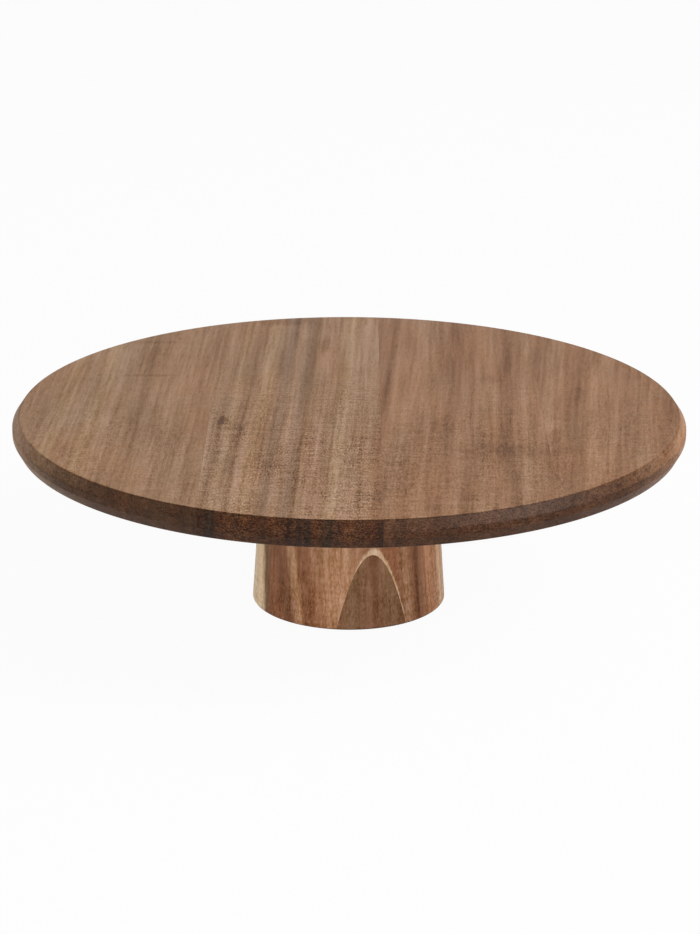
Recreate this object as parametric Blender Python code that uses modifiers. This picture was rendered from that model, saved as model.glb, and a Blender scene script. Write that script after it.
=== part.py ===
"""Round wooden cake stand: a board-built plate that twists off a turned, laminated pedestal.

Metres, +Z up. The origin is on the turning axis, on the table that the stand is put on.
"""

from math import cos, pi, radians, sin, tan

import bmesh
import bpy
from mathutils import Vector

MM = 0.001
GAP = 0.3 * MM

# Overall size
PLATE_RADIUS = 150.0 * MM
STAND_HEIGHT = 90.5 * MM
PLATE_STEPS = 120
PEDESTAL_STEPS = 72
SMALL_STEPS = 32

# Rim of the plate: a chamfer above, a narrow upright nose, a chamfer below
UPPER_CHAMFER_WIDTH = 2.97 * MM
UPPER_CHAMFER_HEIGHT = 4.34 * MM
NOSE_HEIGHT = 3.06 * MM
LOWER_CHAMFER_WIDTH = 2.51 * MM
LOWER_CHAMFER_HEIGHT = 4.6 * MM
RIM_EASING = 0.7 * MM
EASING_SEGMENTS = 3

# Edge joints of the plate's boards, across the grain from left to right
PLATE_JOINTS = (-62.0 * MM, 14.0 * MM, 86.0 * MM)

# Pedestal: a straight taper, turned from boards glued face to face, whose glue planes lean forward a little
PEDESTAL_BASE_RADIUS = 43.66 * MM
PEDESTAL_TOP_RADIUS = 38.48 * MM
PEDESTAL_EASING = 0.8 * MM
LAMINATE_TURN = radians(14.5)
LAMINATE_LEAN = radians(1.27)
LAMINATE_DEPTHS = (40.57 * MM, 13.7 * MM, -13.7 * MM)

# Felt pads under the pedestal
PAD_COUNT = 4
PAD_RADIUS = 7.0 * MM
PAD_THICKNESS = 0.7 * MM
PAD_CIRCLE = 29.0 * MM
PAD_EASING = 0.2 * MM

# Twist-off fixing: hanger bolt in the pedestal, threaded insert in the plate
BOLT_RADIUS = 4.0 * MM
BOLT_POINT_RADIUS = 1.0 * MM
BOLT_POINT_LENGTH = 7.0 * MM
BOLT_WOOD_LENGTH = 32.0 * MM
BOLT_REACH = 8.0 * MM
BOLT_END_CHAMFER = 0.8 * MM
INSERT_RADIUS = 6.0 * MM
INSERT_LENGTH = 8.5 * MM
FLANGE_RADIUS = 8.0 * MM
FLANGE_THICKNESS = 1.0 * MM
INSERT_RECESS = 0.1 * MM
INSERT_CHAMFER = 0.5 * MM
WASHER_RADIUS = 10.0 * MM
WASHER_THICKNESS = 1.3 * MM
WASHER_EASING = 0.2 * MM

# Heights that follow from the sizes above
PLATE_THICKNESS = UPPER_CHAMFER_HEIGHT + NOSE_HEIGHT + LOWER_CHAMFER_HEIGHT
PLATE_BOTTOM = STAND_HEIGHT - PLATE_THICKNESS
PEDESTAL_BOTTOM = PAD_THICKNESS + GAP
PEDESTAL_TOP = PLATE_BOTTOM - GAP
PEDESTAL_HEIGHT = PEDESTAL_TOP - PEDESTAL_BOTTOM
WASHER_BOTTOM = PEDESTAL_TOP - WASHER_THICKNESS
CUT_OVERRUN = 5.0 * MM

# Finishes: base colour, roughness, metallic
OILED_WOOD = (0.26, 0.15, 0.09, 1.0), 0.45, 0.0
REDDISH_WOOD = (0.36, 0.18, 0.10, 1.0), 0.45, 0.0
ZINC_STEEL = (0.62, 0.62, 0.60, 1.0), 0.35, 1.0
INSERT_BRASS = (0.66, 0.50, 0.24, 1.0), 0.35, 1.0
BLACK_RUBBER = (0.03, 0.03, 0.03, 1.0), 0.7, 0.0
GREY_FELT = (0.12, 0.11, 0.10, 1.0), 0.95, 0.0


def make_material(name, finish):
    """A Principled material with one colour, roughness and metallic value."""
    color, roughness, metallic = finish
    material = bpy.data.materials.new(name)
    material.use_nodes = True
    shader = material.node_tree.nodes["Principled BSDF"]
    shader.inputs["Base Color"].default_value = color
    shader.inputs["Roughness"].default_value = roughness
    shader.inputs["Metallic"].default_value = metallic
    return material


def eased(corners, radius, segments=EASING_SEGMENTS):
    """The open outline with every inner corner replaced by an arc of the given radius."""
    points = [Vector(corners[0])]
    for before, corner, after in zip(corners, corners[1:], corners[2:]):
        corner = Vector(corner)
        back = (Vector(before) - corner).normalized()
        ahead = (Vector(after) - corner).normalized()
        half = back.angle(ahead) / 2
        inward = (back + ahead).normalized()
        centre = corner + inward * radius / sin(half)
        start = corner + back * radius / tan(half) - centre
        end = corner + ahead * radius / tan(half) - centre
        sweep = pi - 2 * half
        for step in range(segments + 1):
            part = step / segments
            arm = start * sin((1 - part) * sweep) + end * sin(part * sweep)
            points.append(centre + arm / sin(sweep))
    points.append(Vector(corners[-1]))
    return points


def turned_mesh(name, outline, steps, closed=False):
    """The outline of (radius, height) points turned about Z by a Screw modifier, as a mesh."""
    mesh = bpy.data.meshes.new(name)
    form = bmesh.new()
    verts = [form.verts.new((radius, 0.0, height)) for radius, height in outline]
    for first, second in zip(verts, verts[1:]):
        form.edges.new((first, second))
    if closed:
        form.edges.new((verts[-1], verts[0]))
    form.to_mesh(mesh)
    form.free()
    blank = bpy.data.objects.new(name, mesh)
    bpy.context.scene.collection.objects.link(blank)
    screw = blank.modifiers.new("turn", "SCREW")
    screw.axis = "Z"
    screw.steps = steps
    screw.render_steps = steps
    screw.use_merge_vertices = True
    screw.merge_threshold = 0.00001
    view = bpy.context.evaluated_depsgraph_get()
    solid = bpy.data.meshes.new_from_object(blank.evaluated_get(view))
    bpy.data.objects.remove(blank)
    bpy.data.meshes.remove(mesh)
    solid.name = name
    return solid


def add_object(name, mesh, collection, height=0.0, parent=None):
    """Put a mesh in a collection as a named object, on the axis at the given height."""
    thing = bpy.data.objects.new(name, mesh)
    thing.location.z = height
    thing.parent = parent
    collection.objects.link(thing)
    return thing


def add_part(name, mesh, material, height, parent):
    """Add one sub-part of the stand, shaded smooth except at its real edges."""
    mesh.materials.clear()
    mesh.materials.append(material)
    mesh.shade_smooth()
    mesh.set_sharp_from_angle(angle=radians(32))
    return add_object(name, mesh, stand, height, parent)


def add_cutter(name, mesh, height=0.0):
    """Add a shape that only cuts others."""
    cutter = add_object(name, mesh, cutters, height)
    cutter.hide_render = True
    cutter.display_type = "WIRE"
    return cutter


def slab_cutter(name, low, high, lean=0.0, turn=0.0):
    """A block that keeps what lies between two corners, leant forward and then turned about Z."""
    mesh = bpy.data.meshes.new(name)
    form = bmesh.new()
    bmesh.ops.create_cube(form, size=1.0)
    bmesh.ops.scale(form, verts=form.verts, vec=Vector(high) - Vector(low))
    bmesh.ops.translate(form, verts=form.verts, vec=(Vector(high) + Vector(low)) / 2)
    form.to_mesh(mesh)
    form.free()
    cutter = add_cutter(name, mesh)
    cutter.rotation_euler = (lean, 0.0, turn)
    return cutter


def cut(thing, cutter, operation):
    """Keep (INTERSECT) or take away (DIFFERENCE) the cutter's shape."""
    boolean = thing.modifiers.new(cutter.name, "BOOLEAN")
    boolean.operation = operation
    boolean.object = cutter
    boolean.solver = "EXACT"


def strips(joints, low, high):
    """Neighbouring (start, end) strips from low to high, with half a gap at each joint."""
    edges = sorted(joints)
    starts = [low] + [edge + GAP / 2 for edge in edges]
    ends = [edge - GAP / 2 for edge in edges] + [high]
    return list(zip(starts, ends))


def plate_outline():
    """Half section of the whole plate, from its top centre round the rim to its underside."""
    nose_top = PLATE_THICKNESS - UPPER_CHAMFER_HEIGHT
    corners = [
        (0.0, PLATE_THICKNESS),
        (PLATE_RADIUS - UPPER_CHAMFER_WIDTH, PLATE_THICKNESS),
        (PLATE_RADIUS, nose_top),
        (PLATE_RADIUS, LOWER_CHAMFER_HEIGHT),
        (PLATE_RADIUS - LOWER_CHAMFER_WIDTH, 0.0),
        (0.0, 0.0),
    ]
    return eased(corners, RIM_EASING)


def pedestal_outline():
    """Half section of the whole pedestal, a straight taper with its two edges eased."""
    corners = [
        (0.0, PEDESTAL_HEIGHT),
        (PEDESTAL_TOP_RADIUS, PEDESTAL_HEIGHT),
        (PEDESTAL_BASE_RADIUS, 0.0),
        (0.0, 0.0),
    ]
    return eased(corners, PEDESTAL_EASING)


def insert_socket_outline():
    """Stepped blind hole for the insert, measured up from the plate's underside."""
    flange_room = INSERT_RECESS + FLANGE_THICKNESS + GAP
    depth = INSERT_RECESS + INSERT_LENGTH + GAP
    return [
        (0.0, depth),
        (INSERT_RADIUS + GAP, depth),
        (INSERT_RADIUS + GAP, flange_room),
        (FLANGE_RADIUS + GAP, flange_room),
        (FLANGE_RADIUS + GAP, -CUT_OVERRUN),
        (0.0, -CUT_OVERRUN),
    ]


def bolt_socket_outline():
    """Counterbore for the washer and pilot hole for the bolt, measured from the pedestal's top."""
    seat = -WASHER_THICKNESS - GAP
    hole = BOLT_RADIUS + GAP
    straight = BOLT_WOOD_LENGTH - BOLT_POINT_LENGTH
    return [
        (0.0, CUT_OVERRUN),
        (WASHER_RADIUS + GAP, CUT_OVERRUN),
        (WASHER_RADIUS + GAP, seat),
        (hole, seat),
        (hole, -straight - GAP),
        (BOLT_POINT_RADIUS + GAP, -BOLT_WOOD_LENGTH - GAP),
        (0.0, -BOLT_WOOD_LENGTH - GAP),
    ]


def bolt_outline():
    """Hanger bolt: chamfered machine end above, tapered wood-screw end below its middle."""
    straight = BOLT_WOOD_LENGTH - BOLT_POINT_LENGTH
    top = BOLT_REACH + GAP
    return [
        (0.0, top),
        (BOLT_RADIUS - BOLT_END_CHAMFER, top),
        (BOLT_RADIUS, top - BOLT_END_CHAMFER),
        (BOLT_RADIUS, -straight),
        (BOLT_POINT_RADIUS, -BOLT_WOOD_LENGTH),
        (0.0, -BOLT_WOOD_LENGTH),
    ]


def insert_outline():
    """Closed section of the insert: a sleeve with a flange at its lower, outer end."""
    bore = BOLT_RADIUS + GAP
    return [
        (bore, INSERT_LENGTH),
        (INSERT_RADIUS - INSERT_CHAMFER, INSERT_LENGTH),
        (INSERT_RADIUS, INSERT_LENGTH - INSERT_CHAMFER),
        (INSERT_RADIUS, FLANGE_THICKNESS),
        (FLANGE_RADIUS, FLANGE_THICKNESS),
        (FLANGE_RADIUS, 0.0),
        (bore + INSERT_CHAMFER, 0.0),
        (bore, INSERT_CHAMFER),
    ]


def washer_outline():
    """Closed section of the washer, its outer edges a little rounded."""
    bore = BOLT_RADIUS + GAP
    corners = [
        (bore, WASHER_THICKNESS),
        (WASHER_RADIUS, WASHER_THICKNESS),
        (WASHER_RADIUS, 0.0),
        (bore, 0.0),
    ]
    return eased(corners, WASHER_EASING)


def pad_outline():
    """Half section of one felt pad, its upper and lower edges a little rounded."""
    corners = [
        (0.0, PAD_THICKNESS),
        (PAD_RADIUS, PAD_THICKNESS),
        (PAD_RADIUS, 0.0),
        (0.0, 0.0),
    ]
    return eased(corners, PAD_EASING)


def build_plate(pivot):
    """The plate: boards edge-glued side by side, then turned as one disc, and its insert."""
    socket_mesh = turned_mesh("insert_socket", insert_socket_outline(), SMALL_STEPS)
    socket = add_cutter("insert_socket", socket_mesh, PLATE_BOTTOM)
    reach = PLATE_RADIUS + CUT_OVERRUN
    material = make_material("oiled_wood", OILED_WOOD)
    for number, (left, right) in enumerate(strips(PLATE_JOINTS, -reach, reach), 1):
        disc = turned_mesh("plate_board", plate_outline(), PLATE_STEPS)
        board = add_part(f"plate_board_{number}", disc, material, PLATE_BOTTOM, pivot)
        slab = slab_cutter(
            f"plate_slab_{number}",
            (left, -reach, PLATE_BOTTOM - CUT_OVERRUN),
            (right, reach, STAND_HEIGHT + CUT_OVERRUN),
        )
        cut(board, slab, "INTERSECT")
        if left < 0.0 < right:
            cut(board, socket, "DIFFERENCE")
    sleeve = turned_mesh("threaded_insert", insert_outline(), SMALL_STEPS, closed=True)
    brass = make_material("insert_brass", INSERT_BRASS)
    add_part("threaded_insert", sleeve, brass, PLATE_BOTTOM + INSERT_RECESS, pivot)


def build_washer():
    """The rubber washer in its counterbore, round the bolt."""
    ring = turned_mesh("seat_washer", washer_outline(), SMALL_STEPS, closed=True)
    rubber = make_material("black_rubber", BLACK_RUBBER)
    pivot = bpy.data.objects.new("washer_pivot", None)
    stand.objects.link(pivot)
    add_part("seat_washer", ring, rubber, WASHER_BOTTOM, pivot)


def build_pedestal(base):
    """The pedestal: boards glued face to face and turned to a cone, the bolt and the pads.

    Each glue plane is nearly upright and off the axis, so it shows on the cone as an arch.
    """
    socket_mesh = turned_mesh("bolt_socket", bolt_socket_outline(), SMALL_STEPS)
    socket = add_cutter("bolt_socket", socket_mesh, PEDESTAL_TOP)
    reach = PEDESTAL_BASE_RADIUS + CUT_OVERRUN
    material = make_material("reddish_wood", REDDISH_WOOD)
    behind = [-depth for depth in LAMINATE_DEPTHS]
    for number, (front, back) in enumerate(strips(behind, -reach, reach), 1):
        cone = turned_mesh("pedestal_board", pedestal_outline(), PEDESTAL_STEPS)
        board = add_part(f"pedestal_board_{number}", cone, material, PEDESTAL_BOTTOM, base)
        slab = slab_cutter(
            f"pedestal_slab_{number}",
            (-reach, front, -CUT_OVERRUN),
            (reach, back, PEDESTAL_TOP + CUT_OVERRUN),
            LAMINATE_LEAN,
            LAMINATE_TURN,
        )
        cut(board, slab, "INTERSECT")
        if front < WASHER_RADIUS + GAP and back > -WASHER_RADIUS - GAP:
            cut(board, socket, "DIFFERENCE")
    steel = make_material("zinc_plated_steel", ZINC_STEEL)
    stud = turned_mesh("hanger_bolt", bolt_outline(), SMALL_STEPS)
    add_part("hanger_bolt", stud, steel, PEDESTAL_TOP, base)
    felt = make_material("grey_felt", GREY_FELT)
    for number in range(PAD_COUNT):
        disc = turned_mesh("base_pad", pad_outline(), SMALL_STEPS)
        pad = add_part(f"base_pad_{number + 1}", disc, felt, 0.0, base)
        angle = (number + 0.5) * 2 * pi / PAD_COUNT
        pad.location.x = PAD_CIRCLE * cos(angle)
        pad.location.y = PAD_CIRCLE * sin(angle)


for thing in list(bpy.data.objects):
    bpy.data.objects.remove(thing)
stand = bpy.data.collections.new("cake_stand")
cutters = bpy.data.collections.new("cutters")
for group in (stand, cutters):
    bpy.context.scene.collection.children.link(group)
pedestal_base = bpy.data.objects.new("pedestal_base", None)
plate_pivot = bpy.data.objects.new("plate_pivot", None)
for empty in (pedestal_base, plate_pivot):
    stand.objects.link(empty)
build_pedestal(pedestal_base)
build_washer()
build_plate(plate_pivot)
bpy.context.view_layer.update()
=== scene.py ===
# %% [markdown]
# Cake stand, dressed. The imported model gives every piece its place, and this lesson its finished surface.
# That could be done by eye; reading sizes back from the frame keeps surfaces where the drawing has them.

# %% Load the frame
from math import cos, pi, radians, sin

import bmesh
import bpy
import numpy as np
from mathutils import Matrix, Vector


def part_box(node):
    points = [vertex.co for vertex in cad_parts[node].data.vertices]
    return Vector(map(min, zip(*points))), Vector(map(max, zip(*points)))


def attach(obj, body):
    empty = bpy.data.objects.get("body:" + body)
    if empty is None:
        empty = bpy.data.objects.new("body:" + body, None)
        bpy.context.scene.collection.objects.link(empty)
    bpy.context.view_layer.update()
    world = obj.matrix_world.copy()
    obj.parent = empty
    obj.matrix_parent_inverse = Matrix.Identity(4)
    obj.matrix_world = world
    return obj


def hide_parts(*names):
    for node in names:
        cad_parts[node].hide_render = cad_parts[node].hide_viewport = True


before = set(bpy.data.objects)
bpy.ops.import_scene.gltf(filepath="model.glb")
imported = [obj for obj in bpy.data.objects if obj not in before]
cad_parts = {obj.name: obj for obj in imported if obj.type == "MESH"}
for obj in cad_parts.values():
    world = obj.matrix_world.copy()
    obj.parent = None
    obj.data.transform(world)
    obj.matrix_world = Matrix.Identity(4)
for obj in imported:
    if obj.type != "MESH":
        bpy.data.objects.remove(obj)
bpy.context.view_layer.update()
MM = 0.001

# %% [markdown]
# Turned and sawn wood has smooth faces that meet at crisp edges. Modifiers could build such pieces. Here
# each one is a loop of points carried along a path, because a grid of points keeps the formula in sight.
# The first and the last station are capped, or joined to each other, as on a ring.

# %% From a grid of points to a piece
SHARP = radians(28)
SAME_POINT = 1e-7


def piece_from_loops(name, loops, ring=False):
    """Skin the loops (stations x points x 3) with quads, cap or join the ends, and face outwards."""
    stations, count = loops.shape[:2]
    index = np.arange(stations * count).reshape(stations, count)
    ahead = np.roll(index, -1, axis=0) if ring else index[1:]
    here = index if ring else index[:-1]
    quads = np.stack([here, np.roll(here, -1, 1), np.roll(ahead, -1, 1), ahead], -1)
    faces = quads.reshape(-1, 4).tolist()
    if not ring:
        faces += [index[0, ::-1].tolist(), index[-1].tolist()]
    mesh = bpy.data.meshes.new(name)
    mesh.from_pydata(loops.reshape(-1, 3).tolist(), [], faces)
    form = bmesh.new()
    form.from_mesh(mesh)
    bmesh.ops.remove_doubles(form, verts=form.verts, dist=SAME_POINT)
    bmesh.ops.dissolve_degenerate(form, edges=form.edges, dist=SAME_POINT)
    bmesh.ops.recalc_face_normals(form, faces=form.faces)
    form.to_mesh(mesh)
    form.free()
    mesh.shade_smooth()
    mesh.set_sharp_from_angle(angle=SHARP)
    piece = bpy.data.objects.new(name, mesh)
    bpy.context.scene.collection.objects.link(piece)
    return piece


print("smooth below", round(SHARP * 180 / pi), "degrees")

# %% [markdown]
# The outer edges of the wood were eased with sandpaper and catch a thin light. A Bevel modifier could do
# this; arcs in the half section itself let us set each corner's size in millimetres.

# %% Ease the corners of a half section
EASING_STEPS = 7


def eased(corners, radii, steps=EASING_STEPS):
    """Replace each inner corner by an arc: from one tangent point to the other round its centre."""
    corners = np.array(corners)
    points = [corners[:1]]
    for before, corner, after, radius in zip(corners, corners[1:], corners[2:], radii):
        back = (before - corner) / np.linalg.norm(before - corner)
        ahead = (after - corner) / np.linalg.norm(after - corner)
        half = np.arccos(np.clip(back @ ahead, -1, 1)) / 2
        inward = (back + ahead) / np.linalg.norm(back + ahead)
        centre = corner + inward * radius / np.sin(half)
        start = corner + back * radius / np.tan(half) - centre
        end = corner + ahead * radius / np.tan(half) - centre
        sweep = pi - 2 * half
        part = np.linspace(0, 1, steps)[:, None]
        arm = (start * np.sin((1 - part) * sweep) + end * np.sin(part * sweep)) / np.sin(sweep)
        points.append(centre + arm)
    points.append(corners[-1:])
    return np.concatenate(points)


print("an eased corner has", EASING_STEPS, "points")

# %% [markdown]
# The rim has a chamfer above and below and a narrow upright nose between them. One turned disc could carry
# it, but the plate is four boards, so only the section is made here, for each board to use. The stub at
# each end just tells the outermost corners which way they turn.

# %% Rim section
plate_low, plate_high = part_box("plate_board_2")
PLATE_BOTTOM, PLATE_TOP = plate_low[2], plate_high[2]
PLATE_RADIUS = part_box("plate_board_4")[1][0]
CHAMFER_TOP = (2.97 * MM, 4.34 * MM)
CHAMFER_LOW = (2.51 * MM, 4.6 * MM)
RIM_EASING = (0.55 * MM, 0.9 * MM, 0.9 * MM, 0.7 * MM)
STUB = 20 * MM
rim = eased(
    [
        (PLATE_RADIUS - STUB, PLATE_TOP),
        (PLATE_RADIUS - CHAMFER_TOP[0], PLATE_TOP),
        (PLATE_RADIUS, PLATE_TOP - CHAMFER_TOP[1]),
        (PLATE_RADIUS, PLATE_BOTTOM + CHAMFER_LOW[1]),
        (PLATE_RADIUS - CHAMFER_LOW[0], PLATE_BOTTOM),
        (PLATE_RADIUS - STUB, PLATE_BOTTOM),
    ],
    RIM_EASING,
)[1:-1]
print("rim section:", len(rim), "points, plate", PLATE_RADIUS, PLATE_BOTTOM, PLATE_TOP)

# %% [markdown]
# A middle board runs from rim to rim. Cut from a disc with Booleans, it would have long thin triangles on
# its top. As a tube it stays even: at each x its section is a closed loop, which the round outline shortens
# to y = square root of (r squared minus x squared).

# %% Middle boards of the plate
TOP_RUN = 24
MIDDLE_STATIONS = 60


def middle_board(left, right):
    """Loop (s, r, z) at each x: y = s * sqrt(r^2 - x^2), s from 1 to -1 over the top and back below."""
    run = np.linspace(1, -1, TOP_RUN)[1:-1]
    s = np.concatenate([run, -np.ones(len(rim)), -run, np.ones(len(rim))])
    r = np.concatenate([run * 0 + rim[0, 0], rim[:, 0], run * 0 + rim[-1, 0], rim[::-1, 0]])
    z = np.concatenate([run * 0 + rim[0, 1], rim[:, 1], run * 0 + rim[-1, 1], rim[::-1, 1]])
    x = np.linspace(left, right, MIDDLE_STATIONS)[:, None]
    y = s * np.sqrt(r**2 - x**2)
    return np.stack([x + 0 * y, y, z + 0 * y], -1)


print("a middle board has", MIDDLE_STATIONS, "stations")

# %% [markdown]
# An end board is a slice of the disc with one straight side. The middle boards' tube would shrink to
# nothing at its tip, so this loop is carried round the arc instead. Every ring of the rim starts and ends
# on the straight side, with closer stations at the two corners.

# %% End boards of the plate
END_STATIONS = 140


def end_board(chord, side):
    """Loop at each share k of the arc: angle = k * arccos(chord / r), so every ring ends on the chord."""
    run = np.linspace(0, 1, TOP_RUN)[:-1]
    s = np.concatenate([run, np.ones(len(rim)), run[::-1]])
    r = np.concatenate([run * 0 + rim[0, 0], rim[:, 0], run * 0 + rim[-1, 0]])
    z = np.concatenate([run * 0 + rim[0, 1], rim[:, 1], run * 0 + rim[-1, 1]])
    share = np.sin(np.linspace(-pi / 2, pi / 2, END_STATIONS))[:, None]
    angle = share * np.arccos(chord / r)
    x = side * (chord + s * (r * np.cos(angle) - chord))
    return np.stack([x, r * np.sin(angle), z + 0 * x], -1)


print("an end board has", END_STATIONS, "stations")

# %% [markdown]
# Four boards, edge to edge, make the plate. The glue line between two of them could be a dark stripe in the
# material; a real gap, a fiftieth of a millimetre wide, is right from every side.

# %% Plate boards
JOINTS = (-62.0 * MM, 14.0 * MM, 86.0 * MM)
GLUE_LINE = 0.02 * MM
half_line = GLUE_LINE / 2
plate_loops = [
    end_board(-JOINTS[0] + half_line, -1),
    middle_board(JOINTS[0] + half_line, JOINTS[1] - half_line),
    middle_board(JOINTS[1] + half_line, JOINTS[2] - half_line),
    end_board(JOINTS[2] + half_line, 1),
]
plate_boards = [
    piece_from_loops(f"plate_wood_{n}", loops) for n, loops in enumerate(plate_loops, 1)
]
print("plate boards:", [len(board.data.vertices) for board in plate_boards], "points")

# %% [markdown]
# The pedestal was turned from boards glued face to face. The front glue plane lies almost at the surface
# and leans a little, so the wood in front of it is a thin cap whose edge is an arch. Even heights would
# draw the arch's top with coarse steps, so the heights make the cap's half angle grow evenly.

# %% Pedestal section
pedestal_low, pedestal_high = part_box("pedestal_board_3")
FOOT, PEDESTAL_TOP = pedestal_low[2], pedestal_high[2]
BASE_RADIUS = 43.66 * MM
NECK_RADIUS = 38.48 * MM
PEDESTAL_EASING = 0.8 * MM
GLUE_DEPTHS = (40.57 * MM, 13.7 * MM, -13.7 * MM)
GLUE_LEAN = np.tan(radians(1.27))
ARCH_HALF_ANGLE = 0.38
ARCH_STEPS = 44
PLAIN_STEPS = 12
FOOT_MARGIN = 1.0 * MM
pedestal_edge = eased(
    [(0.0, PEDESTAL_TOP), (NECK_RADIUS, PEDESTAL_TOP), (BASE_RADIUS, FOOT), (0.0, FOOT)],
    (PEDESTAL_EASING, PEDESTAL_EASING),
)[1:-1]
neck_arc, foot_arc = np.split(pedestal_edge, 2)
slope = (BASE_RADIUS - NECK_RADIUS) / (PEDESTAL_TOP - FOOT)
table_radius = BASE_RADIUS + slope * FOOT
half_angle = np.linspace(0, ARCH_HALF_ANGLE, ARCH_STEPS)
cap_depth = table_radius * np.cos(half_angle) - GLUE_DEPTHS[0]
arch_height = cap_depth / (GLUE_LEAN + slope * np.cos(half_angle))
arch_height = arch_height[arch_height > foot_arc[0, 1] + FOOT_MARGIN]
plain_height = np.linspace(neck_arc[-1, 1], arch_height[0], PLAIN_STEPS)[1:-1]
turned_height = np.concatenate([plain_height, arch_height])
turned_radius = BASE_RADIUS - slope * (turned_height - FOOT)
stations = np.concatenate([neck_arc, np.stack([turned_radius, turned_height], -1), foot_arc])
print("arch top at", round(arch_height[0] / MM, 1), "mm,", len(stations), "heights in all")

# %% [markdown]
# At each height the pedestal's boards are strips of one circle, cut by planes at set depths from the axis.
# A cone cut by Booleans would give the same solids with a rougher arch. Here each strip is a loop of two
# arcs, right and left, whose ends lie on the glue planes.

# %% Pedestal boards
GLUE_TURN = radians(14.5)
ARC_STEPS = 40
OUTSIDE = 1.0


def ring_points(r, angle, z):
    """Points round the axis: x = r sin(angle), y = -r cos(angle), so that angle 0 is at the front."""
    return np.stack([r * np.sin(angle), -r * np.cos(angle), z + 0 * angle], -1)


def layer_loops(front, back, section):
    """At each (r, z): two arcs from angle arccos(front / r) to arccos(back / r), right and left."""
    r, z = section[:, :1], section[:, 1:]
    start = np.arccos(np.clip((front + GLUE_LEAN * z) / r, -1, 1))
    end = np.arccos(np.clip((back + GLUE_LEAN * z) / r, -1, 1))
    right = start + (end - start) * np.linspace(0, 1, ARC_STEPS)
    angle = np.concatenate([right, -right[:, ::-1]], 1) + GLUE_TURN
    return ring_points(r, angle, z)


cap_section = stations[stations[:, 1] <= arch_height[0]]
layer_planes = [
    (OUTSIDE, GLUE_DEPTHS[0] + half_line, cap_section),
    (GLUE_DEPTHS[0] - half_line, GLUE_DEPTHS[1] + half_line, stations),
    (GLUE_DEPTHS[1] - half_line, GLUE_DEPTHS[2] + half_line, stations),
    (GLUE_DEPTHS[2] - half_line, -OUTSIDE, stations),
]
pedestal_boards = [
    piece_from_loops(f"pedestal_wood_{n}", layer_loops(*planes))
    for n, planes in enumerate(layer_planes, 1)
]
print("pedestal boards:", [len(board.data.vertices) for board in pedestal_boards], "points")

# %% [markdown]
# The maker drills two holes: for the insert under the plate, and for the bolt down the pedestal. A hole
# would upset the rows of a grid, so here a Boolean is the easy way: a turned cutter takes the hole out of
# the one board that it meets, and is then removed.

# %% Cutters and bores
ROUND = 64
around = np.linspace(0, 2 * pi, ROUND, endpoint=False)


def turned(name, outline):
    """Carry the (radius, height) outline once round the axis, station by station."""
    outline = np.array(outline)
    return piece_from_loops(name, ring_points(outline[:, :1], around, outline[:, 1:]))


def bore(board, cutter):
    """Take the cutter's shape out of the board, keep the result as plain mesh, remove the cutter."""
    cut = board.modifiers.new("socket", "BOOLEAN")
    cut.operation, cut.object, cut.solver = "DIFFERENCE", cutter, "EXACT"
    bpy.context.view_layer.update()
    view = bpy.context.evaluated_depsgraph_get()
    solid = bpy.data.meshes.new_from_object(board.evaluated_get(view))
    board.modifiers.clear()
    board.data = solid
    solid.shade_smooth()
    solid.set_sharp_from_angle(angle=SHARP)
    bpy.data.objects.remove(cutter)


print("round holes have", ROUND, "sides")

# %% [markdown]
# The insert's hole is stepped, wide for its flange and narrower for its sleeve. The bolt's hole is wide at
# the top for the washer, then as wide as the bolt, and ends in the cone of its point. Outer sizes come from
# the frame, with a little clearance.

# %% Sockets
CLEAR = 0.3 * MM
OVERRUN = 5 * MM
SLEEVE_R = 6.0 * MM
FLANGE = 1.0 * MM
POINT_LENGTH = 7.0 * MM
POINT_R = 1.0 * MM
washer_low, washer_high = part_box("seat_washer")
insert_low, insert_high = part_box("threaded_insert")
bolt_low, bolt_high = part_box("hanger_bolt")
WASHER_R, FLANGE_R, BOLT_R = washer_high[0], insert_high[0], bolt_high[0]
flange_top = insert_low[2] + FLANGE + CLEAR
washer_seat = washer_low[2] - CLEAR
insert_socket = [
    (SLEEVE_R + CLEAR, insert_high[2] + CLEAR),
    (SLEEVE_R + CLEAR, flange_top),
    (FLANGE_R + CLEAR, flange_top),
    (FLANGE_R + CLEAR, PLATE_BOTTOM - OVERRUN),
]
bolt_socket = [
    (WASHER_R + CLEAR, PEDESTAL_TOP + OVERRUN),
    (WASHER_R + CLEAR, washer_seat),
    (BOLT_R + CLEAR, washer_seat),
    (BOLT_R + CLEAR, bolt_low[2] + POINT_LENGTH),
    (POINT_R + CLEAR, bolt_low[2] - CLEAR),
]
bore(plate_boards[1], turned("insert_socket", insert_socket))
bore(pedestal_boards[2], turned("bolt_socket", bolt_socket))
bored = (plate_boards[1], pedestal_boards[2])
print("faces after boring:", [len(board.data.polygons) for board in bored])

# %% [markdown]
# A thread is a ridge that winds round the axis. It could be a profile swept along a helix and joined to its
# shank. It is simpler as a radius that rises and falls along the axis, a little later for each step of
# angle: r = root + depth * tooth(z / pitch - angle / full turn).

# %% Thread form
def tooth(z, angle, pitch, flat=0.25):
    """Thread form from 0 at the root to 1 at the crest: a triangle wave with its tips cut flat."""
    phase = (z / pitch - angle / (2 * pi)) % 1
    wave = 1 - np.abs(2 * phase - 1)
    return np.clip((wave - flat / 2) / (1 - flat), 0, 1)


print("root to crest:", tooth(np.linspace(0, 0.5, 5), 0.0, 1.0).round(2))

# %% [markdown]
# The hanger bolt has a machine thread above, for the insert, and below it a coarse wood-screw thread with
# wide grooves and thin crests. Between them is a plain collar. Three pieces could be joined; one radius by
# height keeps it whole.

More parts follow.
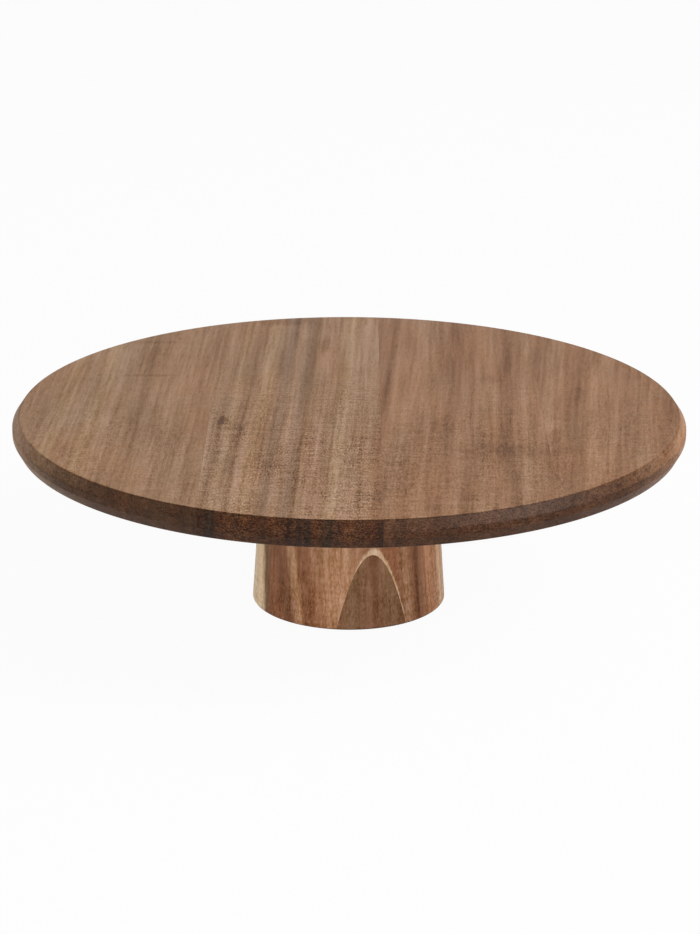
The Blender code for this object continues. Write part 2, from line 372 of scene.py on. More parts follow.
# %% Hanger bolt
MACHINE_PITCH = 1.25 * MM
MACHINE_DEPTH = 0.65 * MM
WOOD_PITCH = 3.0 * MM
WOOD_DEPTH = 1.0 * MM
WOOD_FLAT = 0.5
WOOD_THINNING = 3
COLLAR_DROP = 3 * MM
COLLAR_LENGTH = 2 * MM
COLLAR_WAIST = 0.4 * MM
END_CHAMFER = 0.9 * MM
BOLT_STATIONS = 520


def bolt_loops():
    """Radius by height: wood-screw cone and thread, plain collar, machine thread, end chamfer."""
    z = np.linspace(bolt_low[2], bolt_high[2], BOLT_STATIONS)[:, None]
    collar = PEDESTAL_TOP - COLLAR_DROP
    taper = np.clip((z - bolt_low[2]) / POINT_LENGTH, 0, 1)
    groove = 1 - tooth(z, around, WOOD_PITCH, WOOD_FLAT) ** WOOD_THINNING
    screw = POINT_R + (BOLT_R - POINT_R) * taper - WOOD_DEPTH * taper * groove
    machine = BOLT_R - MACHINE_DEPTH * (1 - tooth(z, around, MACHINE_PITCH))
    upper = np.where(z < collar, BOLT_R - COLLAR_WAIST, machine)
    r = np.where(z < collar - COLLAR_LENGTH, screw, upper)
    chamfer = BOLT_R - END_CHAMFER + (bolt_high[2] - z)
    return ring_points(np.minimum(r, chamfer), around, z)


bolt = piece_from_loops("hanger_bolt_threaded", bolt_loops())
print("bolt:", len(bolt.data.polygons), "faces")

# %% [markdown]
# The insert is a brass sleeve with a flange: a fine thread inside takes the bolt, a coarse one outside bites
# into the plate. Each thread could be cut by hand; here the closed section is carried round the axis, with
# both threads written into its radius.

# %% Threaded insert
BORE_THREAD = 0.12 * MM
SLEEVE_PITCH = 2.5 * MM
SLEEVE_THREAD = 0.6 * MM
SLEEVE_FLAT = 0.4
LEAD_IN = 0.5 * MM
FLANGE_BREAK = 0.15 * MM
FLANGE_ROUND = 0.2 * MM
BORE_STATIONS = 90
SLEEVE_STATIONS = 60


def insert_loops():
    """The sleeve's section carried round the axis, with a fine thread inside and a coarse one outside."""
    low, high = insert_low[2], insert_high[2]
    angle = around[:, None]
    one = np.ones_like(angle)
    inside = np.linspace(low + LEAD_IN, high, BORE_STATIONS)
    outside = np.linspace(high - LEAD_IN, low + FLANGE, SLEEVE_STATIONS)
    bore_r = BOLT_R + CLEAR
    r_in = bore_r - BORE_THREAD * tooth(inside, angle, MACHINE_PITCH)
    r_out = SLEEVE_R - SLEEVE_THREAD * (1 - tooth(outside, angle, SLEEVE_PITCH, SLEEVE_FLAT))
    flange_r = [FLANGE_R - FLANGE_BREAK, FLANGE_R, FLANGE_R, FLANGE_R - FLANGE_ROUND]
    flange_z = [low + FLANGE, low + FLANGE - FLANGE_BREAK, low + FLANGE_ROUND, low]
    r = np.concatenate([r_in, r_out, one * flange_r, one * (bore_r + LEAD_IN)], 1)
    z = np.concatenate([inside, outside, flange_z, [low]]) * one
    return ring_points(r, angle, z)


insert = piece_from_loops("insert_nut", insert_loops(), ring=True)
print("insert:", len(insert.data.polygons), "faces")

# %% [markdown]
# The rubber washer keeps the plate from working loose. A flat cylinder with a hole would do at a glance,
# but moulded rubber has no sharp edge, so its outer corners are eased.

# %% Rubber washer
WASHER_EASING = 0.35 * MM


def washer_loops():
    """A flat ring whose outer edge is moulded round: its section carried round the axis."""
    low, high = washer_low[2], washer_high[2]
    inner = BOLT_R + CLEAR
    corners = [(inner, high), (WASHER_R, high), (WASHER_R, low), (inner, low)]
    section = eased(corners, (WASHER_EASING, WASHER_EASING))
    return ring_points(section[:, 0], around[:, None], section[:, 1])


washer = piece_from_loops("rubber_washer", washer_loops(), ring=True)
print("washer:", len(washer.data.polygons), "faces")

# %% [markdown]
# Four felt pads under the foot keep the table from scratches. The punch that cuts them drags the fibres, so
# a plain cylinder would be too round. Two waves of unlike count, multiplied, give an uneven edge, and a
# number of its own makes each pad differ.

# %% Felt pads
pad_names = [f"base_pad_{n}" for n in (1, 2, 3, 4)]
PUNCH_WAVES = (7, 11)
RAGGED = 0.012
PAD_EASING = (0.25 * MM, 0.12 * MM)
PAD_EASING_STEPS = 5


def pad_loops(low, high, seed):
    """Punched disc: radius * (1 - ragged * (1 + sin of one wave * cos of the other)), at its centre."""
    radius = (high[0] - low[0]) / 2
    wave = np.sin(PUNCH_WAVES[0] * around + seed) * np.cos(PUNCH_WAVES[1] * around - 2 * seed)
    corners = [(0, high[2]), (radius, high[2]), (radius, low[2]), (0, low[2])]
    section = eased(corners, PAD_EASING, PAD_EASING_STEPS)[1:-1]
    points = ring_points(section[:, :1] * (1 - RAGGED * (1 + wave)), around, section[:, 1:])
    centre = (np.array(low) + high) / 2
    return points + np.array([centre[0], centre[1], 0])


pads = [
    piece_from_loops(f"felt_pad_{number}", pad_loops(*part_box(name), number))
    for number, name in enumerate(pad_names, 1)
]
print(len(pads), "pads of", len(pads[0].data.polygons), "faces")

# %% [markdown]
# Colours are written as sRGB hex, as a colour picker shows them, and one function turns them into the
# linear values that the shader wants. Another adds a node with its settings and links, and hands back the
# output that the next node needs, so a material reads from top to bottom.

# %% Colour and node helpers
def linear(code):
    """sRGB hex to linear RGBA: the standard curve, a straight foot and a 2.4 power."""
    value = np.array([int(code[i : i + 2], 16) for i in (1, 3, 5)]) / 255
    curve = np.where(value <= 0.04045, value / 12.92, ((value + 0.055) / 1.055) ** 2.4)
    return (*curve.tolist(), 1.0)


def add_node(tree, kind, inputs=None, output=0, **settings):
    """Add a node, set its properties, link or set its inputs, and give back one of its outputs."""
    made = tree.nodes.new(kind)
    for key, value in settings.items():
        setattr(made, key, value)
    for key, value in (inputs or {}).items():
        if isinstance(value, bpy.types.NodeSocket):
            tree.links.new(value, made.inputs[key])
        else:
            made.inputs[key].default_value = value
    return made.outputs[output]


def blank_material(name, **constants):
    """A material with one Principled shader, whose constant sockets are set here."""
    material = bpy.data.materials.new(name)
    material.use_nodes = True
    tree = material.node_tree
    shader = tree.nodes["Principled BSDF"]
    for key, value in constants.items():
        shader.inputs[key.replace("_", " ")].default_value = value
    return material, tree, shader


print("grey card:", linear("#777777"))

# %% [markdown]
# Oiled acacia. The heartwood of a board is banded across its width, where the tree grew faster or slower,
# and pale sapwood lies at the bark edge. Bands could come from a wave texture, but then they would be even,
# and real ones aren't. We lay them on a ramp across the board, one stop each.

# %% Tones and bands
TONES = {
    "gold": "#9c7a58",
    "rose": "#997458",
    "fawn": "#957153",
    "oak": "#916d4e",
    "walnut": "#896546",
    "slate": "#84654c",
    "umber": "#815d3d",
    "amber": "#936c4d",
    "hazel": "#8d6546",
    "russet": "#865e3f",
    "sienna": "#7e5737",
    "straw": "#d2a984",
    "buff": "#c2926c",
    "honey": "#b8825d",
    "tan": "#ae8464",
    "copper": "#9e7051",
    "chestnut": "#8f5f42",
    "bark": "#7b533a",
    "drab": "#805f43",
    "sapwood": "#f5dab3",
}


def lay_bands(tree, across, bands):
    """Colour by place: a ramp with one stop for each (millimetre, tone), from the first to the last."""
    low, high = bands[0][0], bands[-1][0]
    share = add_node(tree, "ShaderNodeMapRange", {"Value": across, 1: low, 2: high})
    color = add_node(tree, "ShaderNodeValToRGB", {0: share})
    stops = color.node.color_ramp.elements
    while len(stops) < len(bands):
        stops.new(1.0)
    for stop, (place, tone) in zip(stops, bands):
        stop.position = (place - low) / (high - low)
        stop.color = linear(TONES[tone])
    return color


print(len(TONES), "tones")

# %% [markdown]
# The grain is made of layers, each with its size in millimetres: width across the board, depth through it,
# length along the fibres. Streaks and lines are growth seen from its edge; fibres and pores are short
# dashes; ripple, curl, grit and flecks show where the fibres wave. Warmth drifts between red and yellow,
# and on end grain growth shows as bars. A picture would fit one side only; noise stretched to the size fits
# all, and a smooth step between two levels sets its strength. Real pores are finer, but would fall between
# two picture points.

# %% Grain layers
# name: width, depth, length, detail; noise from, noise to, level from, level to
WANDER = {
    "drift": (45, 45, 220, 2, 0.2, 0.8, -1.2, 1.2),
    "shiver": (5, 5, 45, 2, 0.2, 0.8, -0.3, 0.3),
}
GRAIN = {
    "mottle": (18, 18, 60, 2, 0.2, 0.8, -0.12, 0.12),
    "streaks": (3, 3, 120, 3, 0.2, 0.8, -0.28, 0.28),
    "lines": (1.6, 1.6, 50, 2, 0.2, 0.8, -0.18, 0.18),
    "fibres": (1.2, 1.2, 6, 2, 0.2, 0.8, -0.12, 0.12),
}
PORES = {"pores": (0.7, 0.7, 5, 1, 0.56, 0.7, 0.0, -0.1)}
FIGURE = {
    "ripple": (10, 10, 2.2, 2, 0.25, 0.75, -0.14, 0.14),
    "curl": (5, 5, 1.8, 2, 0.25, 0.75, -0.14, 0.14),
    "grit": (0.7, 0.7, 2.0, 1, 0.2, 0.8, -0.42, 0.24),
    "flecks": (0.6, 0.6, 1.4, 1, 0.5, 0.7, 0.0, 0.36),
}
PATCHES = {"patches": (14, 14, 40, 2, 0.3, 0.7, 0.7, 1.2)}
WARMTH = {"warmth": (20, 20, 70, 2, 0.25, 0.75, -1.0, 1.0)}
BARS = {"bars": (5, 60, 150, 3, 0.3, 0.7, 0.0, 1.0)}
SEED_STEP = 7.3
LAYER_STEP = 3.7


def total(tree, source, layers, seed):
    """Sum of layers: noise(place / size), then a smooth step between its two levels."""
    height = 0.0
    for number, (wide, deep, long, detail, low, high, dark, light) in enumerate(layers.values(), 1):
        shift = seed * SEED_STEP + number * LAYER_STEP
        start, scale = (shift, -shift, 2 * shift), (1 / wide, 1 / deep, 1 / long)
        inputs = {"Vector": source, "Location": start, "Scale": scale}
        spot = add_node(tree, "ShaderNodeMapping", inputs)
        noise = add_node(tree, "ShaderNodeTexNoise", {"Vector": spot, "Scale": 1.0, "Detail": detail})
        inputs = {"Value": noise, 1: low, 2: high, 3: dark, 4: light}
        level = add_node(tree, "ShaderNodeMapRange", inputs, interpolation_type="SMOOTHSTEP")
        height = add_node(tree, "ShaderNodeMath", {0: height, 1: level}, operation="ADD")
    return height


print("layers:", [*GRAIN, *PORES, *FIGURE, *BARS])

# %% [markdown]
# Turning marks follow the tool round the axis. Noise on plain coordinates would run straight past the
# curve, so here a point is told by its distance from the axis, its way round and its height, and a dash can
# be long round the rim and thin across it. The angle starts over at the plate's left, where the rim has no
# end grain to carry marks.

# %% Turning marks
TURNING = {
    "dashes": (0.5, 2.4, 0.5, 1, 0.25, 0.75, -0.4, 0.4),
    "nap": (0.45, 0.6, 0.45, 1, 0.25, 0.75, -0.75, 0.5),
    "sparks": (0.5, 0.8, 0.5, 1, 0.5, 0.7, 0.0, 0.7),
}


def round_axis(tree, place):
    """Place as (radius, arc, height) in mm, where arc = angle about Z times radius."""
    x, y, z = add_node(tree, "ShaderNodeSeparateXYZ", {0: place["Object"]}).node.outputs
    flat = add_node(tree, "ShaderNodeCombineXYZ", {0: x, 1: y})
    radius = add_node(tree, "ShaderNodeVectorMath", {0: flat}, "Value", operation="LENGTH")
    angle = add_node(tree, "ShaderNodeMath", {0: y, 1: x}, operation="ARCTAN2")
    arc = add_node(tree, "ShaderNodeMath", {0: angle, 1: radius}, operation="MULTIPLY")
    polar = add_node(tree, "ShaderNodeCombineXYZ", {0: radius, 1: arc, 2: z})
    return add_node(tree, "ShaderNodeVectorMath", {0: polar, "Scale": 1 / MM}, operation="SCALE")


print("turning marks:", [*TURNING])

# %% [markdown]
# No board is even from end to end: a knot, a patch that took more oil, a golden streak that fades out.
# Noise can't be told where to put these, so they are soft ellipses at a chosen place, lighter or darker
# than the wood round them, with an edge that noise breaks up.

# %% Marks
EDGE = {"edge": (3, 3, 14, 2, 0.2, 0.8, -0.25, 0.25)}
FAR = 1e6
FADE_FROM = 0.2
FADE_TO = 1.1


def lay_marks(tree, source, marks, seed):
    """Sum of (across, along, half width, half length, change), each fading to nothing at its edge."""
    ragged = total(tree, source, EDGE, seed)
    change = 0.0
    for across, along, half_width, half_length, level in marks:
        centre, size = (across, 0, along), (half_width, FAR, half_length)
        inputs = {"Vector": source, "Location": centre, "Scale": size}
        spot = add_node(tree, "ShaderNodeMapping", inputs, vector_type="TEXTURE")
        away = add_node(tree, "ShaderNodeVectorMath", {0: spot}, "Value", operation="LENGTH")
        rough = add_node(tree, "ShaderNodeMath", {0: away, 1: ragged}, operation="ADD")
        inputs = {"Value": rough, 1: FADE_FROM, 2: FADE_TO, 3: level, 4: 0.0}
        faded = add_node(tree, "ShaderNodeMapRange", inputs, interpolation_type="SMOOTHSTEP")
        change = add_node(tree, "ShaderNodeMath", {0: change, 1: faded}, operation="ADD")
    return change


print("marks fade from", FADE_FROM, "to", FADE_TO)

# %% [markdown]
# Sapwood lies past a plane of the board: behind a glue face, or outside the heart. It could be one more band
# on the ramp, but a ramp only knows the way across, and this border cuts through the board at a slant. So it
# has its own plane, soft and a little ragged.

# %% Sapwood
BORDER = {"border": (1.5, 1.5, 12, 2, 0.2, 0.8, -0.5, 0.5)}
CALM = 0.7


def past_plane(tree, board, warped, plane, seed):
    """Share of sapwood: smooth step of (place . direction + ragged * softness) round the start."""
    direction, start, softness, strength = plane
    inputs = {0: board, 1: direction}
    reach = add_node(tree, "ShaderNodeVectorMath", inputs, "Value", operation="DOT_PRODUCT")
    inputs = {0: total(tree, warped, BORDER, seed), 1: softness, 2: reach}
    ragged = add_node(tree, "ShaderNodeMath", inputs, operation="MULTIPLY_ADD")
    inputs = {"Value": ragged, 1: start - softness, 2: start + softness, 3: 0.0, 4: strength}
    return add_node(tree, "ShaderNodeMapRange", inputs, interpolation_type="SMOOTHSTEP")


def with_sapwood(tree, color, pale):
    """Colour mixed with sapwood by its share, and the strength left to the grain: 1 - calm * share."""
    inputs = {0: pale, 6: color, 7: linear(TONES["sapwood"])}
    mixed = add_node(tree, "ShaderNodeMix", inputs, 2, data_type="RGBA")
    inputs = {0: pale, 1: -CALM, 2: 1.0}
    return mixed, add_node(tree, "ShaderNodeMath", inputs, operation="MULTIPLY_ADD")


print("sapwood keeps", round(1 - CALM, 2), "of the grain")

# %% [markdown]
# Object coordinates become board coordinates in millimetres: across, through, along. A UV map for each
# board would do too, but object coordinates run on from a board's top into its rim, as the grain does.
# Across is warped so that no band is a ruled line, leans if the tree did, and slants with depth as growth
# rings do.

# %% Board coordinates
def board_place(tree, place, turn, face, tilt, lean, wander, seed):
    """Board coordinates in mm, plain and warped: across + tilt * depth - lean * along + wander."""
    inputs = {"Vector": place["Object"], "Rotation": turn, "Scale": (1 / MM, 1 / MM, 1 / MM)}
    board = add_node(tree, "ShaderNodeMapping", inputs)
    across, through, along = add_node(tree, "ShaderNodeSeparateXYZ", {0: board}).node.outputs
    depth = add_node(tree, "ShaderNodeMath", {0: through, 1: face}, operation="SUBTRACT")
    slant = add_node(tree, "ShaderNodeMath", {0: depth, 1: tilt, 2: across}, operation="MULTIPLY_ADD")
    askew = add_node(tree, "ShaderNodeMath", {0: along, 1: -lean, 2: slant}, operation="MULTIPLY_ADD")
    inputs = {0: total(tree, board, WANDER, seed), 1: wander, 2: askew}
    ring = add_node(tree, "ShaderNodeMath", inputs, operation="MULTIPLY_ADD")
    warped = add_node(tree, "ShaderNodeCombineXYZ", {0: ring, 1: through, 2: along})
    return board, warped, ring, along


print("board step:", MM, "m")

# %% [markdown]
# Where the cut crosses the fibres it shows end grain, which is told by how squarely the surface faces along
# them. It could be painted on face by face, but a smooth step follows the round rim by itself. Figure shows
# in patches, more of it towards the near end of a plate board or the foot of a pedestal board.

# %% End grain and figure
LONG_GRAIN = 0.08
END_GRAIN = 0.65
FAR_END = 70.0
NEAR_END = -60.0
FAR_FIGURE = 0.15


def end_grain_share(tree, place, axis):
    """0 on long grain, 1 on end grain: a smooth step of |normal . fibre direction|."""
    inputs = {0: place["Normal"], 1: axis}
    facing = add_node(tree, "ShaderNodeVectorMath", inputs, "Value", operation="DOT_PRODUCT")
    square_on = add_node(tree, "ShaderNodeMath", {0: facing}, operation="ABSOLUTE")
    inputs = {"Value": square_on, 1: LONG_GRAIN, 2: END_GRAIN}
    return add_node(tree, "ShaderNodeMapRange", inputs, interpolation_type="SMOOTHSTEP")


def figure_share(tree, warped, along, speckle, seed):
    """Patches times a share that grows along the board from its far end to its near end."""
    inputs = {"Value": along, 1: FAR_END, 2: NEAR_END, 3: FAR_FIGURE * speckle, 4: speckle}
    nearness = add_node(tree, "ShaderNodeMapRange", inputs)
    inputs = {0: total(tree, warped, PATCHES, seed), 1: nearness}
    return add_node(tree, "ShaderNodeMath", inputs, operation="MULTIPLY")


print("end grain fades in from", LONG_GRAIN, "to", END_GRAIN)

# %% [markdown]
# Brightness is 1 plus the sum of all layers. A darker spot holds more of the wood's dye, which swallows
# blue most and red least. Mixing with black would turn it grey, so each channel takes its own power of the
# brightness. End grain drinks more oil: there two soaked tints, one for each kind of bar, darken it.

# %% Brightness and tint
DYE = (0.75, 1.0, 1.5)
DARKEST = 0.2
BLUSH = (0.04, 0.0, -0.04)
SOAKED = ("#463f39", "#80674f")


def brightness(tree, layers):
    """Tone by channel: (1 + sum of level * share) to the power of the dye."""
    light = 1.0
    for level, share in layers:
        inputs = {0: level, 1: share, 2: light}
        light = add_node(tree, "ShaderNodeMath", inputs, operation="MULTIPLY_ADD")
    safe = add_node(tree, "ShaderNodeMath", {0: light, 1: DARKEST}, operation="MAXIMUM")
    return add_node(tree, "ShaderNodeVectorMath", {0: safe, 1: DYE}, operation="POWER")


def soaked(tree, color, warped, ends, soak, bars, seed):
    """Colour times a blushing tone, and on end grain, as far as it soaks, times the tint of its bar."""
    inputs = {0: total(tree, warped, WARMTH, seed), 1: BLUSH, 2: (1, 1, 1)}
    blush = add_node(tree, "ShaderNodeVectorMath", inputs, operation="MULTIPLY_ADD")
    long_grain = add_node(tree, "ShaderNodeVectorMath", {0: color, 1: blush}, operation="MULTIPLY")
    inputs = {0: total(tree, warped, BARS, seed), 1: bars, 2: (1 - bars) / 2}
    bar = add_node(tree, "ShaderNodeMath", inputs, operation="MULTIPLY_ADD")
    inputs = {0: bar, 6: linear(SOAKED[0]), 7: linear(SOAKED[1])}
    tint = add_node(tree, "ShaderNodeMix", inputs, 2, data_type="RGBA")
    drunk = add_node(tree, "ShaderNodeMath", {0: ends, 1: soak}, operation="MULTIPLY")
    inputs = {0: drunk, 6: long_grain, 7: tint}
    return add_node(tree, "ShaderNodeMix", inputs, 2, data_type="RGBA", blend_type="MULTIPLY")


print("dye:", DYE, "soaked:", SOAKED)

# %% [markdown]
# Oil rubbed in by hand leaves a low sheen, which the open pores break up, and pores and figure can just be
# felt. Carving them into the mesh would take millions of faces, so a slight bump stands for them.

# %% Rubbed oil
ROUGHNESS = 0.5
PORE_DEPTH = 4.0
RELIEF_STRENGTH = 0.3
RELIEF = 0.06 * MM


def rub_with_oil(tree, shader, pores, figure):
    """Roughness = its middle value - pores; relief = pores * their depth + figure."""
    inputs = {0: pores, 1: -1.0, 2: ROUGHNESS}
    dull = add_node(tree, "ShaderNodeMath", inputs, operation="MULTIPLY_ADD")
    tree.links.new(dull, shader.inputs["Roughness"])
    inputs = {0: pores, 1: PORE_DEPTH, 2: figure}
    relief = add_node(tree, "ShaderNodeMath", inputs, operation="MULTIPLY_ADD")
    inputs = {"Height": relief, "Strength": RELIEF_STRENGTH, "Distance": RELIEF}
    bump = add_node(tree, "ShaderNodeBump", inputs)
    tree.links.new(bump, shader.inputs["Normal"])


print("oil: roughness", ROUGHNESS, "relief", RELIEF)

# %% [markdown]
# Now the layers meet. One material for all boards would repeat the same grain in each, so every board gets
# one of its own from this function, with its bands, its marks and its seed. Each set of layers also has a
# seed of its own, so that no two share a pattern.

# %% Oiled acacia
PORE_SEED, FIGURE_SEED, TOOL_SEED, TINT_SEED = 20, 40, 60, 80


def oiled_acacia(
    name, turn, axis, bands, marks, seed, lean, speckle,
    face=0.0, tilt=0.0, wander=1.0, soak=1.0, bars=1.0, edges=(), sap=None,
):
    """Hand-rubbed oil on acacia: base colour = bands or sapwood, times brightness, times tint."""
    material, tree, shader = blank_material(name, IOR=1.48, Specular_IOR_Level=0.14)
    place = add_node(tree, "ShaderNodeTexCoord").node.outputs
    board, warped, ring, along = board_place(tree, place, turn, face, tilt, lean, wander, seed)
    ends = end_grain_share(tree, place, axis)
    figured = figure_share(tree, warped, along, speckle, seed)
    color, calm = lay_bands(tree, ring, bands), 1.0
    if sap:
        color, calm = with_sapwood(tree, color, past_plane(tree, board, warped, sap, seed))

    pores = total(tree, warped, PORES, seed + PORE_SEED)
    figure = total(tree, warped, FIGURE, seed + FIGURE_SEED)
    polar = round_axis(tree, place)
    tooled = add_node(tree, "ShaderNodeMath", {0: ends, 1: speckle}, operation="MULTIPLY")
    layers = [
        (total(tree, warped, GRAIN, seed), calm),
        (pores, calm),
        (figure, figured),
        (total(tree, polar, TURNING, seed + TOOL_SEED), tooled),
        (lay_marks(tree, warped, marks, seed), 1.0),
        (lay_marks(tree, polar, edges, seed), 1.0),
    ]
    inputs = {0: color, 1: brightness(tree, layers)}
    toned = add_node(tree, "ShaderNodeVectorMath", inputs, operation="MULTIPLY")
    oiled = soaked(tree, toned, warped, ends, soak, bars, seed + TINT_SEED)
    tree.links.new(oiled, shader.inputs["Base Color"])
    rub_with_oil(tree, shader, pores, figure)
    return material


print("seeds:", PORE_SEED, FIGURE_SEED, TOOL_SEED, TINT_SEED)

# %% [markdown]
# The plate's bands, read from left to right, board by board: the place in millimetres, then the
# tone. The two boards on the left are greyer, the two on the right redder. Even steps would look like
# printed stripes, so the widths follow the wood.

# %% Bands of the plate
plate_bands = [
    [(-150, "oak"), (-142, "fawn"), (-134, "oak"), (-128, "gold"), (-121, "fawn"), (-113, "gold"),
     (-106, "fawn"), (-100, "oak"), (-94, "walnut"), (-88, "oak"), (-81, "fawn"), (-76, "oak"),
     (-70, "fawn"), (-65, "walnut"), (-60, "oak")],
    [(-64, "oak"), (-59, "fawn"), (-56, "walnut"), (-53, "oak"), (-51.5, "gold"), (-49, "oak"),
     (-46, "walnut"), (-43, "fawn"), (-39, "gold"), (-35, "oak"), (-31, "slate"), (-26, "fawn"),
     (-22, "slate"), (-18.5, "umber"), (-17, "oak"), (-12, "rose"), (-7, "oak"), (-3, "gold"),
     (1, "fawn"), (6, "fawn"), (11, "oak"), (14, "hazel"), (16, "russet")],
    [(12, "russet"), (16, "sienna"), (19, "hazel"), (25, "amber"), (30, "hazel"), (35, "amber"),
     (40, "hazel"), (46, "russet"), (50, "hazel"), (54, "russet"), (60, "amber"), (66, "hazel"),
     (71, "russet"), (75, "hazel"), (80, "amber"), (84, "hazel"), (88, "russet")],
    [(84, "russet"), (88, "amber"), (94, "hazel"), (99, "russet"), (103, "sienna"), (106, "hazel"),
     (112, "amber"), (117, "hazel"), (122, "russet"), (127, "hazel"), (134, "hazel"), (141, "russet"),
     (150, "hazel")],
]
print("bands of the plate:", [len(bands) for bands in plate_bands])

# %% [markdown]
# The plate's marks: place across and along, half width, half length, change of brightness. The dark knot
# and the patch in front of it are on the second board, which also has the most streaks. Along the two
# arrises of the rim runs a thin darker line.

# %% Marks of the plate
plate_marks = [
    [(-95, 76, 7, 30, -0.3), (-108, 70, 2.5, 30, 0.22), (-95, 102, 18, 3, -0.25),
     (-92, 48, 16, 2.5, -0.28), (-124, 65, 5, 18, -0.18), (-108, -22, 8, 20, 0.15),
     (-125, -80, 12, 20, 0.1), (-75, -40, 10, 60, -0.15), (-98, -15, 30, 40, -0.06)],
    [(-55, -19, 3, 8, -0.7), (-50, -27, 11, 9, -0.3), (-46, -42, 4, 20, -0.35),
     (-36, -82, 16, 17, -0.24), (-60, -100, 3, 50, 0.28), (-43, -92, 3, 45, 0.3),
     (-52, 35, 2, 55, 0.25), (-2, -60, 3, 90, 0.25), (-15, 98, 3.5, 20, -0.4),
     (-35, 138, 16, 9, -0.4), (-25, 120, 4, 24, 0.25), (-19, -40, 1.4, 110, -0.3),
     (4, 100, 14, 60, 0.24), (-5.8, -60, 0.8, 95, -0.4)],
    [(38, -28, 19, 22, -0.12), (76, -58, 42, 13, -0.2), (80, 98, 2, 28, 0.25),
     (46, 100, 4, 45, -0.18), (62, 44, 9, 8, -0.2), (30, 95, 6, 50, 0.12),
     (71, 75, 3, 40, -0.2), (24, -85, 14, 45, -0.24)],
    [(103, 22, 3, 26, -0.35), (99, -60, 9, 14, -0.18), (91, -22, 8, 10, 0.2),
     (117, 40, 4, 40, 0.14), (108, 80, 4, 30, -0.2)],
]
ARRIS_SIZE = 0.8
arris = ((PLATE_RADIUS - CHAMFER_TOP[0]) / MM, PLATE_TOP / MM, ARRIS_SIZE, ARRIS_SIZE, -0.25)
nose = (PLATE_RADIUS / MM, (PLATE_TOP - CHAMFER_TOP[1]) / MM, ARRIS_SIZE, ARRIS_SIZE, -0.2)
print("marks of the plate:", [len(marks) for marks in plate_marks])

# %% [markdown]
# The plate's grain runs from front to back, so "along" is Y and the coordinates are turned a quarter about
# X. One look for all would hide the joints, so each board has its own: how far its bands lean, how strongly
# it is figured, how much oil its end grain took and how clearly bars show there. A dressed piece moves with
# its part of the stand and stands in for its plain solid; one function says so for all fifteen.

# %% Finish the plate
GRAIN_Y = (pi / 2, 0.0, 0.0)
FIBRES_Y = (0, 1, 0)
GROWTH_TILT = 0.1
plate_looks = [
    {"lean": 0.03, "speckle": 0.6, "soak": 0.94, "bars": 0.6},
    {"lean": 0.03, "speckle": 1.35, "soak": 1.0, "bars": 1.0},
    {"lean": 0.05, "speckle": 0.8, "soak": 0.925, "bars": 0.4},
    {"lean": 0.09, "speckle": 0.75, "soak": 0.93, "bars": 0.25},
]


def dress(piece, body, node, material):
    """The piece rides on its body, stands for its CAD node and takes its finish."""
    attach(piece, body)
    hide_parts(node)
    piece.data.materials.clear()
    piece.data.materials.append(material)
    print(piece.name, len(piece.data.polygons), "faces, on", body)


rows = zip(plate_boards, plate_bands, plate_marks, plate_looks)
for number, (board, bands, marks, look) in enumerate(rows, 1):
    wood = oiled_acacia(
        f"oiled_acacia_plate_{number}", GRAIN_Y, FIBRES_Y, bands, marks, number,
        face=-PLATE_TOP / MM, tilt=GROWTH_TILT, edges=(arris, nose), **look,
    )
    dress(board, "plate", f"plate_board_{number}", wood)

# %% [markdown]
# The pedestal's bands and marks, from left to right as seen square to the glue planes. The wood is redder
# than the plate's and more boldly striped. The second board fills most of the front, on both sides of the
# arch.

# %% Bands and marks of the pedestal
pedestal_bands = [
    [(-20, "bark"), (-8, "drab"), (0, "bark"), (8, "drab"), (20, "bark")],
    [(-44, "chestnut"), (-36.5, "chestnut"), (-34.7, "bark"), (-32.6, "chestnut"), (-31.2, "tan"),
     (-30, "buff"), (-28.2, "chestnut"), (-23, "copper"), (-18.5, "tan"), (-8.5, "tan"),
     (-2.5, "copper"), (13.5, "chestnut"), (18, "tan"), (21.3, "chestnut"), (23.3, "bark"),
     (25.5, "chestnut"), (27.5, "copper"), (29, "honey"), (34, "honey"), (36.5, "straw"), (46, "straw")],
    [(-45, "drab"), (-41, "drab"), (-36, "chestnut"), (-20, "walnut"), (0, "tan"), (20, "chestnut"),
     (32, "walnut"), (37, "buff"), (45, "buff")],
    [(-40, "walnut"), (-25, "chestnut"), (-10, "umber"), (5, "tan"), (20, "chestnut"), (40, "walnut")],
]
pedestal_marks = [
    [(3, 12, 5, 9, -0.15)],
    [(23.3, 25, 1.6, 40, -0.3), (-26, 20, 1.5, 50, -0.2)],
    [],
    [],
]
print("bands of the pedestal:", [len(bands) for bands in pedestal_bands])

# %% [markdown]
# The pedestal's boards stand upright, so "along" is Z, and the coordinates are turned about Z until
# "through" points square to the glue planes. The second board has a skin of pale sapwood right behind the
# front glue line, which draws a light edge round the arch's top. The third board still has the tree's
# sapwood on its left edge.

# %% Finish the pedestal
GRAIN_Z = (0.0, 0.0, -GLUE_TURN)
FIBRES_Z = (0, 0, 1)
PEDESTAL_SEED = 10
PEDESTAL_WANDER = 0.3
SKIN_DEPTH = 0.15
BARK_REACH = 38.0
